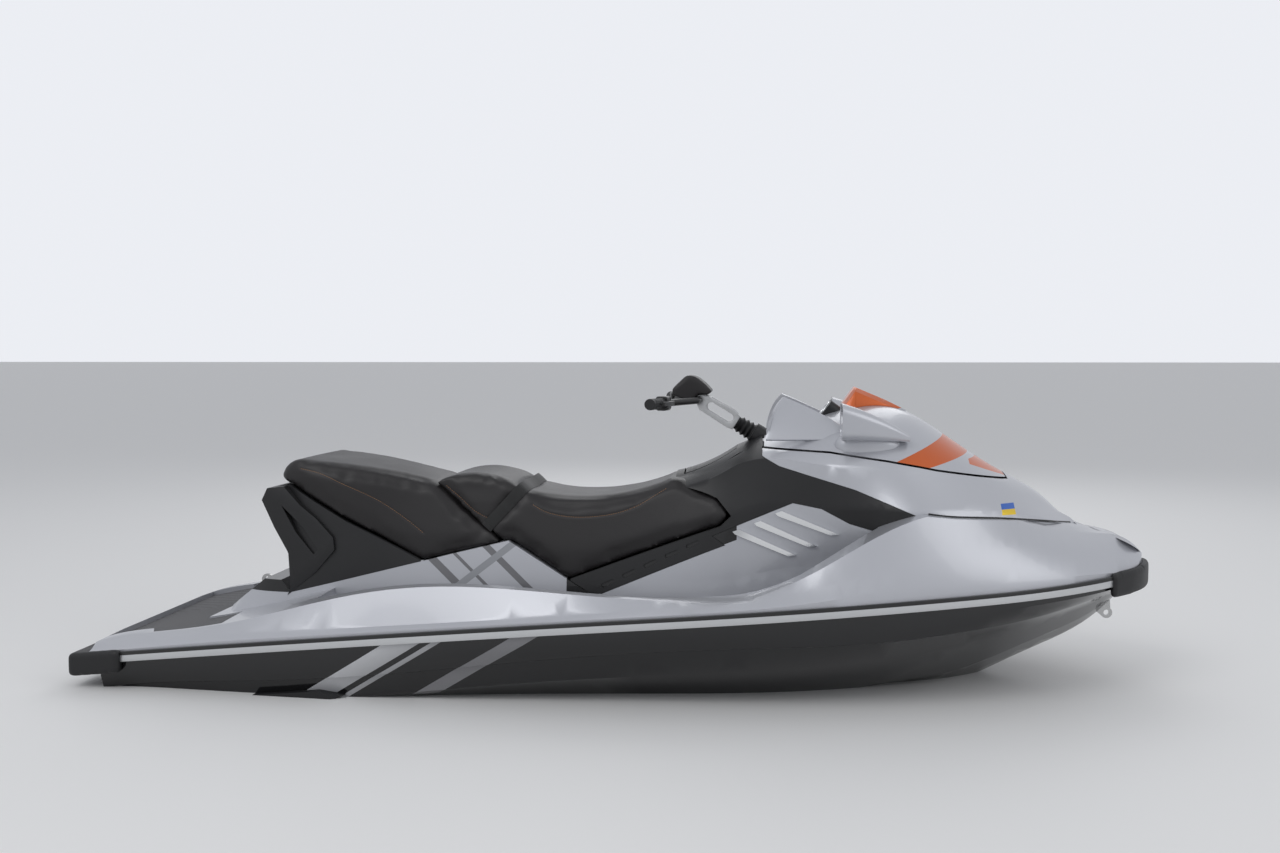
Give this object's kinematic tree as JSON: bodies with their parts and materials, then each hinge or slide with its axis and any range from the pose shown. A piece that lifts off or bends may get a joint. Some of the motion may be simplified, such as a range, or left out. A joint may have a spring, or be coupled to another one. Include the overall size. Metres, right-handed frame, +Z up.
{
  "type": "personal watercraft",
  "caption": "Sit-astride personal watercraft with a V hull, stepped seat, handlebar steering, opening bow storage cover and water-jet drive.",
  "frame": {"origin": "on the waterline, on the centreline, at half the hull's length", "axes": "+X to the bow, +Y to port, +Z up"},
  "size_m": [3.31, 1.222, 1.1585],
  "materials": {
    "hull": "gloss",
    "deck": "metallic",
    "panel": "metallic",
    "cowl": "satin",
    "visor": "gloss",
    "seat": "grained",
    "strap": "woven",
    "rubber": "matte",
    "mat": "textured",
    "rail": "satin",
    "alloy": "cast",
    "steel": "satin",
    "switchgear": "satin",
    "bright": "polished",
    "mirror": "polished",
    "engine": "cast"
  },
  "bodies": {
    "hull": {"bow_bumper": "rubber", "bow_eye": "steel", "console": "cowl", "deck": "deck", "drain_plugs": "rubber", "engine_block": "engine", "footwell_mat_port": "mat", "footwell_mat_starboard": "mat", "front_panel": "panel", "fuel_cap": "cowl", "grab_handle": "cowl", "hull_shell": "hull", "intake_grate": "cowl", "jet_pump": "alloy", "platform_mat": "mat", "rear_cowl": "cowl", "ride_plate": "alloy", "rub_rail_port": "rail", "rub_rail_starboard": "rail", "seat_bolster": "seat", "seat_driver": "seat", "seat_passenger": "seat", "seat_strap": "strap", "side_cowl_port": "cowl", "side_cowl_starboard": "cowl", "side_fins_port": "bright", "side_fins_starboard": "bright", "sponson_port": "cowl", "sponson_starboard": "cowl", "step_bracket": "steel", "stern_bumper_port": "rubber", "stern_bumper_starboard": "rubber", "stern_eyes": "steel", "tow_eye": "steel"},
    "storage_cover": {"cover_shell": "panel", "cover_wings": "panel", "cover_visor": "visor", "gauge_pod": "cowl", "mirror_pod_starboard": "panel", "mirror_pod_port": "panel", "mirror_glass_starboard": "mirror", "mirror_glass_port": "mirror"},
    "steering": {"steering_boot": "rubber", "steering_riser": "alloy", "handlebar": "steel", "grip_starboard": "rubber", "grip_port": "rubber", "controls_starboard": "switchgear", "controls_port": "switchgear", "throttle_lever": "switchgear", "bar_pad": "seat"},
    "glove_lid": {"glove_box_lid": "cowl"},
    "nozzle": {"steering_nozzle": "alloy"},
    "bucket": {"reverse_bucket": "alloy"},
    "rotor": {"impeller": "steel"},
    "step": {"boarding_step": "steel"}
  },
  "joints": [
    {"name": "cover_hinge", "type": "hinge", "parent": "hull", "child": "storage_cover", "pos_m": [1.202, 0, 0.652], "axis": [0, 1, 0], "range_deg": [0, 60]},
    {"name": "steering_column", "type": "hinge", "parent": "hull", "child": "steering", "pos_m": [0.415, 0, 0.765], "axis": [-0.8526, 0, 0.5225], "range_deg": [-25, 25]},
    {"name": "nozzle_swivel", "type": "hinge", "parent": "hull", "child": "nozzle", "pos_m": [-1.43, 0, -0.085], "axis": [0, 0, 1], "range_deg": [-20, 20]},
    {"name": "bucket_pivot", "type": "hinge", "parent": "hull", "child": "bucket", "pos_m": [-1.43, 0, -0.085], "axis": [0, -1, 0], "range_deg": [0, 70]},
    {"name": "impeller_shaft", "type": "hinge", "parent": "hull", "child": "rotor", "pos_m": [-1.12, 0, -0.085], "axis": [1, 0, 0], "continuous": true},
    {"name": "glove_lid_hinge", "type": "hinge", "parent": "hull", "child": "glove_lid", "pos_m": [0.3662, 0, 0.731], "axis": [0, 1, 0], "range_deg": [0, 42]},
    {"name": "step_hinge", "type": "hinge", "parent": "hull", "child": "step", "pos_m": [-1.58, -0.248, -0.062], "axis": [0, -1, 0], "range_deg": [0, 165]}
  ],
  "couplings": [
    {"joint": "nozzle_swivel", "follows": "steering_column", "ratio": -0.8}
  ]
}
